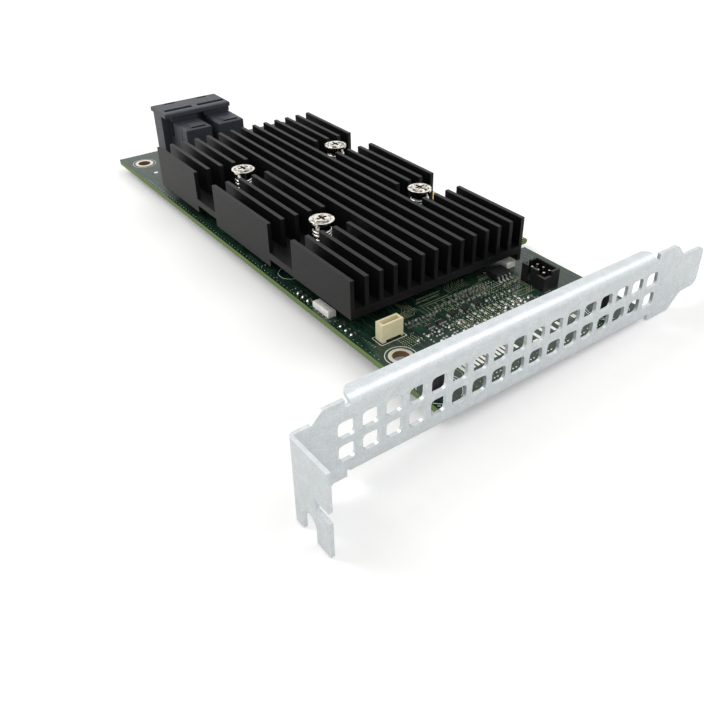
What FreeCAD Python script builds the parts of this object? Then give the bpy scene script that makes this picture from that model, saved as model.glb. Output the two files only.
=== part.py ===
import FreeCAD, Part
import math
import os

os.makedirs("parts", exist_ok=True)

V = FreeCAD.Vector

# All sizes are in mm. The origin is the centre of the board's near mounting hole on the
# component face. +X runs along the bracket from its screw tab to its tail, +Y from the
# bracket to the far end of the board, +Z up from the component face.

# Circuit board. The tongue steps out from the right edge, split by its key notch.
BOARD_LENGTH = 166.4
BOARD_WIDTH = 68.9
BOARD_THICK = 1.57
TONGUE_STEP = 4.49
TONGUE_ROOT = 8.25
TONGUE_START = 43.4
TONGUE_FIRST = 11.65
TONGUE_KEY = 1.9
TONGUE_REST = 38.65
KEY_DEPTH = 7.6
NOTCH_BEFORE = 3.3
NOTCH_AFTER = 9.0
TONGUE_BEVEL = 0.5
HOLE_FROM_LEFT = 5.35
HOLE_FROM_BRACKET = 20.15
HOLE_FROM_FAR = 8.1
HOLE_R = 2.0
RING_R = 2.9
PLATING = 0.06
BRACKET_GAP = 0.39

# Holes that a screw fills and hides are cut in short flats.
HIDDEN_HOLE_FLATS = 12

# Edge contacts on both faces of the tongue.
FINGER_PITCH = 1.0
FINGER_WIDTH = 0.7
FINGER_LENGTH = 4.3
FINGER_SETBACK = 0.9

# Bracket: plate, screw tab at its left end, tail at its right end, two long flanges.
PLATE_THICK = 0.86
PLATE_LENGTH = 120.02
PLATE_WIDTH = 18.42
PLATE_ABOVE_BOARD = 14.37
TAB_TO_BOARD = 34.95
TAB_DEPTH = 11.43
TAB_HEIGHT = 20.0
TAB_BELOW_TOP = 2.27
SHOULDER_START = 4.6
FOLD_R = 0.5
BEND_R = 1.9
FLANGE_DEPTH = 3.7
FLANGE_START = 12.85
FLANGE_TO_TAIL_END = 19.82
FLANGE_CORNER_R = 2.2
RELIEF_WIDTH = 1.2
RELIEF_DEPTH = 1.65
TAIL_BELOW_TOP = 3.67
TAIL_WIDTH = 10.9
TAIL_UPPER_LENGTH = 11.8
TAIL_LOWER_LENGTH = 6.4
TAIL_CORNER_R = 2.0
SHOULDER_R = 2.0

# Vents through the bracket, with their corners in short flats.
VENT_ROWS = 2
VENT_PITCH = 5.52
VENT_SIZE = 3.9
VENT_CORNER_R = 0.9
VENT_CORNER_FLATS = 2
VENT_FIRST = 9.9
VENT_TO_TAIL_END = 17.5
VENT_DROP = 0.25

# Notch for the case screw and slot for the case's key, both in the tab.
SCREW_SLOT_WIDTH = 4.5
SCREW_SLOT_FROM_FOLD = 2.65
SCREW_SLOT_LENGTH = 5.5
KEY_SLOT_WIDTH = 2.45
KEY_SLOT_DEPTH = 4.25
KEY_SLOT_FROM_TOP = 9.2

# Posts on the board, and the bracket's ears that are screwed to them from below.
POST_R = 1.9
POST_HEIGHT = 7.0
POST_FROM_FACE = 6.0
LEFT_POST_FROM_EDGE = 4.45
RIGHT_POST_FROM_EDGE = 6.96
POST_BLIND = 0.3
EAR_WIDTH = 6.4
EAR_PAST_POST = 3.2
POST_SCREW_R = 1.2
POST_SCREW_DEPTH = 4.0
POST_HEAD_R = 2.1
POST_HEAD_THICK = 0.9
POST_CROSS_REACH = 1.2
POST_CROSS_WIDTH = 0.6
POST_CROSS_DEPTH = 0.5
POST_FIT = 0.05

# Heatsink. Its outer fins run down as skirts, and milled pockets make room for the screws.
FIN_COUNT = 14
FIN_PITCH = 4.08
FIN_THICK = 1.1
SINK_TO_CONNECTOR = 13.25
SINK_FROM_LEFT = 1.1
SINK_FROM_BRACKET = 33.1
SINK_TOP = 14.3
SINK_FLOOR = 6.3
SINK_UNDERSIDE = 4.3
SKIRT_Z = 2.2
POCKET_WIDTH = 11.0
POCKET_SPACING = 40.6
LEFT_POCKET_FINS = 5
RIGHT_POCKET_FINS = 4
LEFT_SCREW = 12.65
RIGHT_SCREW = 44.5
SINK_HOLE_CLEARANCE = 0.25
PEDESTAL = 24.0

# Spring screws with a wide thin head, a low boss on it and a collar below it; their nuts
# under the board; and the coil springs between the collars and the heatsink.
HEAD_R = 3.25
HEAD_THICK = 0.6
HEAD_TOP = 14.2
BOSS_R = 2.3
BOSS_RISE = 0.35
BOSS_BEVEL = 0.2
COLLAR_R = 2.3
COLLAR_DROP = 1.8
SHANK_R = 1.25
SHANK_CLEARANCE = 0.2
NUT_ACROSS = 5.0
NUT_THICK = 1.0
NUT_FIT = 0.05
SPRING_TURN_COUNT = 5
SPRING_FLAT_COUNT = 8
SPRING_WIRE_R = 0.3
SPRING_FIT = 0.75
SPRING_CLOSED_PITCH = 0.62
SPRING_SIDE_COUNT = 4
CROSS_WIDTH = 0.75
CROSS_REACH = 1.55
CROSS_DEPTH = 0.9

# Controller chip, its lid and the thermal pad below the heatsink's pedestal.
CHIP_SIZE = 27.0
CHIP_THICK = 1.2
LID_SIZE = 21.0
LID_THICK = 1.4
PAD_THICK = 0.5
PAD_SIZE = 21.0

# Cable connector at the far end: a shallow tower under a deeper flange with two ports, and
# two latch boxes before the tower.
SAS_FROM_LEFT = 13.4
SAS_WIDTH = 23.7
SAS_DEPTH = 11.2
SAS_TOP = 16.0
SAS_FLANGE = 1.5
SAS_FLANGE_LIP = 0.5
SAS_FLANGE_R = 0.5
SAS_FROM_FAR = 0.9
TOWER_DEPTH = 6.1
PORT_COUNT = 2
PORT_PITCH = 11.75
PORT_SHIFT = 0.3
SLOT_LENGTH = 9.8
SLOT_WIDTH = 1.9
SLOT_FROM_FRONT = 3.1
SLOT_DEPTH = 9.0
KEYWAY_LENGTH = 3.7
KEYWAY_WIDTH = 1.1
KEYWAY_DEPTH = 5.0
KEYWAY_FROM_BACK = 0.75
LATCH_WIDTH = 9.0
LATCH_TOP = 12.4
LATCH_DEPTH = 8.6
LATCH_FROM_LEFT = 3.3
LATCH_CHAMFER = 0.4
GROOVE = 0.35
GROOVE_LEFT = 2.6
GROOVE_RIGHT = 7.2
GROOVE_NEAR = 1.2
GROOVE_FAR = 5.0
SIDE_GROOVE = 3.6
SIDE_GROOVE_DROP = 1.2
SIDE_GROOVE_LENGTH = 5.2
BLADE_COUNT = 9
BLADE_PITCH = 0.75
BLADE_WIDTH = 0.3
BLADE_THICK = 0.25
BLADE_DROP = 2.5
BLADE_SHIFT = 1.3

# Low cream header by the near mounting hole.
CREAM_FROM_LEFT = 4.95
CREAM_FROM_BRACKET = 26.4
CREAM_LENGTH = 6.0
CREAM_WIDTH = 2.6
CREAM_HEIGHT = 4.7
CREAM_WALL = 0.6
CREAM_CAVITY = 3.3
CREAM_LEFT_FOOT = 1.1
CREAM_RIGHT_FOOT = 0.5
CREAM_FOOT_LIFT = 0.5
CREAM_PINS = 4
CREAM_PITCH = 1.0
CREAM_PIN_SIZE = 0.4
CREAM_PIN_DROP = 0.8

# Black box header with two columns of pins.
BOX_FROM_LEFT = 50.75
BOX_FROM_BRACKET = 20.3
BOX_LENGTH = 7.9
BOX_WIDTH = 5.4
BOX_HEIGHT = 4.9
BOX_WALL = 0.6
BOX_FLOOR = 1.2
BOX_COLUMNS = 2
BOX_ROWS = 3
BOX_PITCH = 2.0
PIN_SIZE = 0.5
PIN_TOP = 4.1
KEY_SLIT = 1.1
LEFT_SLIT_FROM_FAR = 3.0
FAR_SLIT_FROM_LEFT = 1.4
PULL_CUT_DEPTH = 1.3
PULL_CUT_REACH = 2.6

# White parts at the board's edges: from the board's left edge, from the bracket's face,
# size along X, size along Y, height.
WHITE_LEFT = (1.05, 42.4, 2.2, 6.8, 1.7)
WHITE_RIGHT = (51.5, 34.0, 3.0, 2.8, 1.6)
WHITE_CHAMFER = 0.2

# Eight-lead chip.
SO_FROM_LEFT = 45.1
SO_FROM_BRACKET = 31.2
SO_LENGTH = 4.9
SO_WIDTH = 3.9
SO_HEIGHT = 1.6
SO_LIFT = 0.15
SO_LEADS = 4
SO_PITCH = 1.27
LEAD_WIDTH = 0.42
LEAD_REACH = 1.05
LEAD_THICK = 0.2
LEAD_KNEE = 0.35
LEAD_FOOT = 0.45

# Small parts, each with its size along X, along Y and its height. They stand in rows, each
# row as its first part's place from the board's left edge and from the bracket's face, its
# step along X and along Y, and its count.
CAPACITOR_SIZE = (1.0, 0.5, 0.5)
CAPACITOR_ROWS = (
    (24.5, 30.6, 2.3, 0.0, 8), (12.6, 22.3, 3.1, 0.0, 5), (38.5, 20.5, 2.6, 0.0, 4), (1.9, 52.0, 0.0, 2.2, 3),
    (32.4, 32.2, 1.75, 0.0, 4), (20.6, 12.6, 2.4, 0.0, 10), (45.6, 28.2, 1.9, 0.0, 3),
)
RESISTOR_SIZE = (1.0, 0.5, 0.32)
RESISTOR_ROWS = (
    (13.5, 29.3, 2.1, 0.0, 6), (37.0, 25.6, 2.6, 0.0, 4), (17.0, 19.2, 3.4, 0.0, 4), (1.9, 33.5, 0.0, 2.2, 3),
    (30.2, 28.6, 1.8, 0.0, 6), (24.0, 15.4, 3.0, 0.0, 6),
)
NETWORK_SIZE = (2.0, 1.0, 0.4)
NETWORK_ROWS = ((18.05, 25.3, 3.2, 0.0, 2),)
INDUCTOR_SIZE = (1.7, 1.3, 0.9)
INDUCTOR_ROWS = ((25.25, 25.95, 3.95, 0.0, 3),)

# Derived places.
LEFT = -HOLE_FROM_LEFT
RIGHT = LEFT + BOARD_WIDTH
MAIN_RIGHT = RIGHT - TONGUE_STEP
ROOT_RIGHT = RIGHT - TONGUE_ROOT
FACE = -HOLE_FROM_BRACKET
INNER = FACE + PLATE_THICK
NEAR = INNER + BRACKET_GAP
FAR = NEAR + BOARD_LENGTH
UNDER = -BOARD_THICK
TAB_X = LEFT - TAB_TO_BOARD
TAIL_X = TAB_X + PLATE_LENGTH
FLANGE_END = PLATE_LENGTH - FLANGE_TO_TAIL_END
PLATE_TOP = PLATE_ABOVE_BOARD
PLATE_BOTTOM = PLATE_TOP - PLATE_WIDTH
PLATE_MID = (PLATE_TOP + PLATE_BOTTOM) / 2
TAB_TOP = PLATE_TOP - TAB_BELOW_TOP
TAB_BOTTOM = TAB_TOP - TAB_HEIGHT
TAIL_TOP = PLATE_TOP - TAIL_BELOW_TOP
TAIL_BOTTOM = TAIL_TOP - TAIL_WIDTH
SAS_LEFT = LEFT + SAS_FROM_LEFT
SAS_RIGHT = SAS_LEFT + SAS_WIDTH
SAS_BACK = FAR - SAS_FROM_FAR
SAS_FRONT = SAS_BACK - SAS_DEPTH
SAS_SLOT_Y = SAS_FRONT + SLOT_FROM_FRONT
TOWER_BACK = SAS_BACK - SAS_FLANGE_LIP
TOWER_FRONT = TOWER_BACK - TOWER_DEPTH
LATCH_Y = SAS_FRONT + SAS_FLANGE_LIP - LATCH_DEPTH
SINK_X = LEFT + SINK_FROM_LEFT
SINK_WIDTH = (FIN_COUNT - 1) * FIN_PITCH + FIN_THICK
SINK_RIGHT = SINK_X + SINK_WIDTH
SINK_Y = FACE + SINK_FROM_BRACKET
SINK_FAR = LATCH_Y - SINK_TO_CONNECTOR
SINK_MID_Y = (SINK_Y + SINK_FAR) / 2
POCKET_PLACES = [SINK_MID_Y - POCKET_SPACING / 2, SINK_MID_Y + POCKET_SPACING / 2]
SCREW_PLACES = [(SINK_X + dx, y) for dx in (LEFT_SCREW, RIGHT_SCREW) for y in POCKET_PLACES]
SPRING_R = SHANK_R + SPRING_FIT + SPRING_WIRE_R
HEAD_BOTTOM = HEAD_TOP - HEAD_THICK
COLLAR_BOTTOM = HEAD_BOTTOM - COLLAR_DROP
CHIP_X = SINK_X + (LEFT_SCREW + RIGHT_SCREW) / 2
LID_TOP = CHIP_THICK + LID_THICK
PEDESTAL_Z = LID_TOP + PAD_THICK
HOLE_SPACING = FAR - HOLE_FROM_FAR
HOLE_PLACES = [(0.0, 0.0), (0.0, HOLE_SPACING)]
FIRST_VENT_X = TAB_X + VENT_FIRST + VENT_SIZE / 2
VENT_SPAN = PLATE_LENGTH - VENT_FIRST - VENT_TO_TAIL_END - VENT_SIZE
VENT_COLUMNS = int(VENT_SPAN / VENT_PITCH) + 1
POST_PLACES = [
    (x, FACE + POST_FROM_FACE) for x in (LEFT + LEFT_POST_FROM_EDGE, MAIN_RIGHT - RIGHT_POST_FROM_EDGE)
]
NEARLY = 1e-6
BEYOND = 1.0


def box(x0, y0, z0, x1, y1, z1):
    return Part.makeBox(x1 - x0, y1 - y0, z1 - z0, V(x0, y0, z0))


def centred(x, y, z0, size_x, size_y, z1):
    return box(x - size_x / 2, y - size_y / 2, z0, x + size_x / 2, y + size_y / 2, z1)


def rod(x, y, z0, radius, z1):
    return Part.makeCylinder(radius, z1 - z0, V(x, y, z0))


def flat_sided(x, y, z0, radius, sides, z1):
    """An upright prism whose flats lie at the radius."""
    corner_r = radius / math.cos(math.pi / sides)
    turns = [2 * math.pi * k / sides for k in range(sides)]
    points = [(x + corner_r * math.cos(t), y + corner_r * math.sin(t), z0) for t in turns]
    return prism(points, (0, 0, z1 - z0))


def screw_hole(x, y, z0, radius, z1):
    return flat_sided(x, y, z0, radius, HIDDEN_HOLE_FLATS, z1)


def cross(x, y, z0, reach, width, z1):
    return centred(x, y, z0, 2 * reach, width, z1).fuse(centred(x, y, z0, width, 2 * reach, z1))


def prism(points, direction):
    wire = Part.makePolygon([V(*p) for p in points] + [V(*points[0])])
    return Part.Face(wire).extrude(V(*direction))


def fused(shapes):
    return shapes[0].multiFuse(shapes[1:]).removeSplitter()


def cut_all(shape, tools):
    return shape.cut(Part.makeCompound(tools))


def places(middle, count, pitch):
    return [middle + (i - (count - 1) / 2) * pitch for i in range(count)]


def near(a, b):
    return abs(a - b) < NEARLY


def edges_where(shape, test):
    straight = [e for e in shape.Edges if len(e.Vertexes) == 2]
    return [e for e in straight if test(e.Vertexes[0].Point, e.Vertexes[1].Point)]


def top_edges(shape, z):
    return [e for e in shape.Edges if near(e.BoundBox.ZMin, z) and near(e.BoundBox.ZMax, z)]


def save(name, solids):
    shape = solids[0] if len(solids) == 1 else Part.makeCompound(solids)
    shape.exportStep("parts/%s.step" % name)


# Circuit board and its metal.

def circuit_board():
    tongue_y = FACE + TONGUE_START
    key_y = tongue_y + TONGUE_FIRST
    key_end = key_y + TONGUE_KEY
    tongue_end = key_end + TONGUE_REST
    notch_y = tongue_y - NOTCH_BEFORE
    notch_end = tongue_end + NOTCH_AFTER
    outline = [
        (LEFT, NEAR), (MAIN_RIGHT, NEAR), (MAIN_RIGHT, notch_y), (ROOT_RIGHT, notch_y),
        (ROOT_RIGHT, tongue_y), (RIGHT, tongue_y), (RIGHT, key_y), (RIGHT - KEY_DEPTH, key_y),
        (RIGHT - KEY_DEPTH, key_end), (RIGHT, key_end), (RIGHT, tongue_end),
        (ROOT_RIGHT, tongue_end), (ROOT_RIGHT, notch_end), (MAIN_RIGHT, notch_end),
        (MAIN_RIGHT, FAR), (LEFT, FAR),
    ]
    board = prism([(x, y, UNDER) for x, y in outline], (0, 0, BOARD_THICK))
    board = board.makeChamfer(TONGUE_BEVEL, edges_where(
        board, lambda a, b: near(a.x, RIGHT) and near(b.x, RIGHT) and near(a.z, b.z)))
    screws = [(p, SHANK_R) for p in SCREW_PLACES] + [(p, POST_SCREW_R) for p in POST_PLACES]
    holes = [rod(x, y, UNDER - BEYOND, HOLE_R, BEYOND) for x, y in HOLE_PLACES]
    holes += [screw_hole(x, y, UNDER - BEYOND, r + SHANK_CLEARANCE, BEYOND) for (x, y), r in screws]
    return cut_all(board, holes)


def hole_ring(x, y, z0):
    return rod(x, y, z0, RING_R, z0 + PLATING).cut(rod(x, y, z0 - BEYOND, HOLE_R, z0 + BEYOND))


def edge_contacts():
    fingers = []
    x = RIGHT - FINGER_SETBACK - FINGER_LENGTH / 2
    runs = [(TONGUE_START, TONGUE_FIRST), (TONGUE_START + TONGUE_FIRST + TONGUE_KEY, TONGUE_REST)]
    for start, length in runs:
        count = round((length - FINGER_WIDTH) / FINGER_PITCH)
        for y in places(FACE + start + length / 2, count, FINGER_PITCH):
            for z0 in (0, UNDER - PLATING):
                fingers.append(centred(x, y, z0, FINGER_LENGTH, FINGER_WIDTH, z0 + PLATING))
    return fingers


# Bracket and what holds it to the board.

def sheet(points):
    return prism([(TAB_X + x, FACE, z) for x, z in points], (0, PLATE_THICK, 0))


def left_plate():
    relief = FLANGE_START - RELIEF_WIDTH
    overlap = FLANGE_START + BEND_R
    rise = PLATE_TOP - TAB_TOP
    drop = PLATE_BOTTOM - TAB_BOTTOM
    return sheet([
        (0, TAB_BOTTOM), (0, TAB_TOP), (SHOULDER_START, TAB_TOP), (SHOULDER_START + rise, PLATE_TOP),
        (relief, PLATE_TOP), (relief, PLATE_TOP - RELIEF_DEPTH), (overlap, PLATE_TOP - RELIEF_DEPTH),
        (overlap, PLATE_BOTTOM + RELIEF_DEPTH), (relief, PLATE_BOTTOM + RELIEF_DEPTH),
        (relief, PLATE_BOTTOM), (SHOULDER_START + drop, PLATE_BOTTOM), (SHOULDER_START, TAB_BOTTOM),
    ])


def tail_plate():
    overlap = FLANGE_END - BEND_R
    relief = FLANGE_END + RELIEF_WIDTH
    upper = PLATE_LENGTH - TAIL_UPPER_LENGTH
    lower = PLATE_LENGTH - TAIL_LOWER_LENGTH
    tail = sheet([
        (overlap, PLATE_TOP - RELIEF_DEPTH), (relief, PLATE_TOP - RELIEF_DEPTH), (relief, PLATE_TOP),
        (upper, PLATE_TOP), (upper + PLATE_TOP - TAIL_TOP, TAIL_TOP), (PLATE_LENGTH, TAIL_TOP),
        (PLATE_LENGTH, TAIL_BOTTOM), (lower, TAIL_BOTTOM),
        (lower - (TAIL_BOTTOM - PLATE_BOTTOM), PLATE_BOTTOM), (relief, PLATE_BOTTOM),
        (relief, PLATE_BOTTOM + RELIEF_DEPTH), (overlap, PLATE_BOTTOM + RELIEF_DEPTH),
    ])
    through = edges_where(tail, lambda a, b: not near(a.y, b.y))
    ends = [e for e in through if near(e.BoundBox.XMin, TAIL_X)]
    tail = tail.makeFillet(TAIL_CORNER_R, ends)
    shoulders = [
        e for e in edges_where(tail, lambda a, b: not near(a.y, b.y))
        if TAB_X + FLANGE_END + 2 * RELIEF_WIDTH < e.BoundBox.XMin < TAIL_X - TAIL_CORNER_R - NEARLY
    ]
    return tail.makeFillet(SHOULDER_R, shoulders)


def flanged_middle():
    start = TAB_X + FLANGE_START
    end = TAB_X + FLANGE_END
    open_y = FACE + FLANGE_DEPTH
    shell = box(start, FACE, PLATE_BOTTOM, end, open_y, PLATE_TOP)
    shell = shell.makeFillet(BEND_R, edges_where(
        shell, lambda a, b: near(a.y, FACE) and near(b.y, FACE) and near(a.z, b.z)))
    shell = shell.makeFillet(FLANGE_CORNER_R, edges_where(
        shell, lambda a, b: near(a.x, b.x) and near(a.y, open_y) and near(b.y, open_y)))
    hollow = box(start - BEYOND, INNER, PLATE_BOTTOM + PLATE_THICK, end + BEYOND, open_y + BEYOND,
                 PLATE_TOP - PLATE_THICK)
    hollow = hollow.makeFillet(BEND_R - PLATE_THICK, edges_where(
        hollow, lambda a, b: near(a.y, INNER) and near(b.y, INNER) and near(a.z, b.z)))
    return shell.cut(hollow)


def vent(x, z):
    inset = VENT_SIZE / 2 - VENT_CORNER_R
    points = []
    for quarter in range(4):
        for flat in range(VENT_CORNER_FLATS + 1):
            turn = math.radians(90 * (quarter + flat / VENT_CORNER_FLATS))
            middle = math.radians(90 * quarter + 45)
            px = x + math.copysign(inset, math.cos(middle)) + VENT_CORNER_R * math.cos(turn)
            pz = z + math.copysign(inset, math.sin(middle)) + VENT_CORNER_R * math.sin(turn)
            points.append((px, FACE - BEYOND, pz))
    return prism(points, (0, PLATE_THICK + 2 * BEYOND, 0))


def tab_cuts():
    outside = TAB_X - BEYOND
    inside = TAB_X + PLATE_THICK + BEYOND
    slot_r = SCREW_SLOT_WIDTH / 2
    slot_y = FACE - SCREW_SLOT_FROM_FOLD - slot_r
    arch_z = TAB_BOTTOM + SCREW_SLOT_LENGTH - slot_r
    key_top = TAB_TOP - KEY_SLOT_FROM_TOP
    edge_y = FACE - TAB_DEPTH
    return [
        box(outside, slot_y - slot_r, TAB_BOTTOM - BEYOND, inside, slot_y + slot_r, arch_z),
        Part.makeCylinder(slot_r, inside - outside, V(outside, slot_y, arch_z), V(1, 0, 0)),
        box(outside, edge_y - BEYOND, key_top - KEY_SLOT_WIDTH, inside, edge_y + KEY_SLOT_DEPTH, key_top),
    ]


def bracket():
    tab = box(TAB_X, FACE - TAB_DEPTH, TAB_BOTTOM, TAB_X + PLATE_THICK, INNER, TAB_TOP)
    ears = [
        box(x - EAR_WIDTH / 2, FACE, UNDER - PLATE_THICK, x + EAR_WIDTH / 2, y + EAR_PAST_POST, UNDER)
        for x, y in POST_PLACES
    ]
    body = fused([left_plate(), flanged_middle(), tail_plate(), tab] + ears)
    folds = ((FOLD_R + PLATE_THICK, TAB_X, INNER), (FOLD_R, TAB_X + PLATE_THICK, FACE))
    for radius, fold_x, fold_y in folds:
        fold = edges_where(body, lambda a, b: all(near(p.x, fold_x) and near(p.y, fold_y) for p in (a, b)))
        body = body.makeFillet(radius, fold)
    cuts = [screw_hole(x, y, UNDER - 2 * PLATE_THICK, POST_SCREW_R + SHANK_CLEARANCE, UNDER + BEYOND)
            for x, y in POST_PLACES]
    for column in range(VENT_COLUMNS):
        for z in places(PLATE_MID - VENT_DROP, VENT_ROWS, VENT_PITCH):
            cuts.append(vent(FIRST_VENT_X + column * VENT_PITCH, z))
    return cut_all(body, cuts + tab_cuts())


def mounting_post(x, y):
    return rod(x, y, 0, POST_R, POST_HEIGHT).cut(
        screw_hole(x, y, -BEYOND, POST_SCREW_R + POST_FIT, POST_SCREW_DEPTH + POST_BLIND))


def post_screw(x, y):
    seat = UNDER - PLATE_THICK
    end = seat - POST_HEAD_THICK
    screw = fused([rod(x, y, end, POST_HEAD_R, seat), rod(x, y, seat, POST_SCREW_R, POST_SCREW_DEPTH)])
    return screw.cut(cross(x, y, end - BEYOND, POST_CROSS_REACH, POST_CROSS_WIDTH, end + POST_CROSS_DEPTH))


# Heatsink and what clamps it.

def heatsink():
    pieces = [box(SINK_X, SINK_Y, SINK_UNDERSIDE, SINK_RIGHT, SINK_FAR, SINK_FLOOR)]
    for i in range(FIN_COUNT):
        x = SINK_X + i * FIN_PITCH
        pieces.append(box(x, SINK_Y, SINK_FLOOR, x + FIN_THICK, SINK_FAR, SINK_TOP))
    pieces += [
        box(SINK_X, POCKET_PLACES[0], SKIRT_Z, SINK_X + FIN_THICK, SINK_FAR, SINK_UNDERSIDE),
        box(SINK_RIGHT - FIN_THICK, SINK_Y, SKIRT_Z, SINK_RIGHT, SINK_FAR, SINK_UNDERSIDE),
        centred(CHIP_X, SINK_MID_Y, PEDESTAL_Z, PEDESTAL, PEDESTAL, SINK_UNDERSIDE),
    ]
    inside_left = SINK_X + LEFT_POCKET_FINS * FIN_PITCH
    inside_right = SINK_RIGHT - RIGHT_POCKET_FINS * FIN_PITCH
    cuts = []
    for y in POCKET_PLACES:
        y0 = y - POCKET_WIDTH / 2
        y1 = y + POCKET_WIDTH / 2
        over = SINK_TOP + BEYOND
        cuts += [
            box(SINK_X - BEYOND, y0, SINK_FLOOR, inside_left, y1, over),
            box(inside_right, y0, SINK_FLOOR, SINK_RIGHT + BEYOND, y1, over),
            box(SINK_X - BEYOND, y0, SKIRT_Z - BEYOND, SINK_X + 2 * FIN_THICK, y1, SINK_UNDERSIDE),
            box(SINK_RIGHT - 2 * FIN_THICK, y0, SKIRT_Z - BEYOND, SINK_RIGHT + BEYOND, y1, SINK_UNDERSIDE),
        ]
    hole_r = SHANK_R + SINK_HOLE_CLEARANCE
    cuts += [screw_hole(x, y, SKIRT_Z, hole_r, SINK_FLOOR + BEYOND) for x, y in SCREW_PLACES]
    return cut_all(fused(pieces), cuts)


def spring_screw(x, y):
    end = UNDER - NUT_THICK
    boss_top = HEAD_TOP + BOSS_RISE
    profile = [
        (0, end), (SHANK_R, end), (SHANK_R, COLLAR_BOTTOM), (COLLAR_R, COLLAR_BOTTOM),
        (COLLAR_R, HEAD_BOTTOM), (HEAD_R, HEAD_BOTTOM), (HEAD_R, HEAD_TOP), (BOSS_R, HEAD_TOP),
        (BOSS_R - BOSS_BEVEL, boss_top), (0, boss_top),
    ]
    outline = Part.makePolygon([V(x + r, y, z) for r, z in profile + profile[:1]])
    body = Part.Face(outline).revolve(V(x, y, 0), V(0, 0, 1), 360)
    return body.cut(cross(x, y, boss_top - CROSS_DEPTH, CROSS_REACH, CROSS_WIDTH, boss_top + BEYOND))


def coil_height(turns, rise):
    """Rise of the coil after some turns. Its first and last turns lie closed."""
    open_turns = SPRING_TURN_COUNT - 2
    open_pitch = (rise - 2 * SPRING_CLOSED_PITCH) / open_turns
    closed = min(turns, 1) + max(turns - 1 - open_turns, 0)
    return closed * SPRING_CLOSED_PITCH + min(max(turns - 1, 0), open_turns) * open_pitch


def spring(x, y):
    z0 = SINK_FLOOR + SPRING_WIRE_R
    rise = COLLAR_BOTTOM - SPRING_WIRE_R - z0
    coil = []
    for i in range(SPRING_TURN_COUNT * SPRING_FLAT_COUNT + 1):
        turns = i / SPRING_FLAT_COUNT
        angle = 2 * math.pi * turns
        coil.append(V(x + SPRING_R * math.cos(angle), y + SPRING_R * math.sin(angle),
                      z0 + coil_height(turns, rise)))
    start = (coil[1] - coil[0]).normalize()
    outward = (V(1, 0, 0) - start * start.x).normalize()
    upward = start.cross(outward)
    rim = []
    for k in range(SPRING_SIDE_COUNT + 1):
        angle = 2 * math.pi * (k + 0.5) / SPRING_SIDE_COUNT
        rim.append(coil[0] + (outward * math.cos(angle) + upward * math.sin(angle)) * SPRING_WIRE_R)
    mitred = 1
    return Part.makePolygon(coil).makePipeShell([Part.makePolygon(rim)], True, False, mitred)


def screw_nut(x, y):
    bottom = UNDER - NUT_THICK
    return flat_sided(x, y, bottom, NUT_ACROSS / 2, 6, UNDER).cut(
        screw_hole(x, y, bottom - BEYOND, SHANK_R + NUT_FIT, UNDER + BEYOND))


def controller_chip():
    return fused([
        centred(CHIP_X, SINK_MID_Y, 0, CHIP_SIZE, CHIP_SIZE, CHIP_THICK),
        centred(CHIP_X, SINK_MID_Y, CHIP_THICK, LID_SIZE, LID_SIZE, LID_TOP),
    ])


def thermal_pad():
    return centred(CHIP_X, SINK_MID_Y, LID_TOP, PAD_SIZE, PAD_SIZE, PEDESTAL_Z)


# Connectors and headers.

def latch_box(x, y):
    body = box(x, y, 0, x + LATCH_WIDTH, TOWER_FRONT, LATCH_TOP)
    body = body.makeChamfer(LATCH_CHAMFER, top_edges(body, LATCH_TOP))
    z = LATCH_TOP - GROOVE
    over = LATCH_TOP + BEYOND
    side_top = LATCH_TOP - SIDE_GROOVE_DROP
    return cut_all(body, [
        box(x + GROOVE_LEFT, y + GROOVE_FAR, z, x + GROOVE_RIGHT, y + GROOVE_FAR + GROOVE, over),
        box(x + GROOVE_RIGHT - GROOVE, y + GROOVE_NEAR, z, x + GROOVE_RIGHT, y + GROOVE_FAR, over),
        box(x - BEYOND, y + SIDE_GROOVE, side_top - SIDE_GROOVE_LENGTH, x + GROOVE,
            y + SIDE_GROOVE + GROOVE, side_top),
    ])


def port_middles():
    return places((SAS_LEFT + SAS_RIGHT) / 2 + PORT_SHIFT, PORT_COUNT, PORT_PITCH)


def cable_connector():
    flange_z = SAS_TOP - SAS_FLANGE
    over = SAS_TOP + BEYOND
    tower = box(SAS_LEFT + SAS_FLANGE_LIP, TOWER_FRONT, 0, SAS_RIGHT - SAS_FLANGE_LIP, TOWER_BACK, flange_z)
    flange = box(SAS_LEFT, SAS_FRONT, flange_z, SAS_RIGHT, SAS_BACK, SAS_TOP)
    flange = flange.makeFillet(SAS_FLANGE_R, top_edges(flange, SAS_TOP))
    latches = [latch_box(SAS_LEFT + LATCH_FROM_LEFT + p * PORT_PITCH, LATCH_Y) for p in range(PORT_COUNT)]
    cuts = []
    for x in port_middles():
        cuts.append(centred(x, SAS_SLOT_Y, SAS_TOP - SLOT_DEPTH, SLOT_LENGTH, SLOT_WIDTH, over))
        keyway_y = SAS_BACK - KEYWAY_FROM_BACK - KEYWAY_WIDTH / 2
        cuts.append(centred(x, keyway_y, SAS_TOP - KEYWAY_DEPTH, KEYWAY_LENGTH, KEYWAY_WIDTH, over))
    return cut_all(fused([tower, flange] + latches), cuts)


def connector_contacts():
    y = SAS_SLOT_Y + (SLOT_WIDTH - BLADE_THICK) / 2
    return [
        centred(x, y, SAS_TOP - SLOT_DEPTH, BLADE_WIDTH, BLADE_THICK, SAS_TOP - BLADE_DROP)
        for middle in port_middles() for x in places(middle + BLADE_SHIFT, BLADE_COUNT, BLADE_PITCH)
    ]


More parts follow.
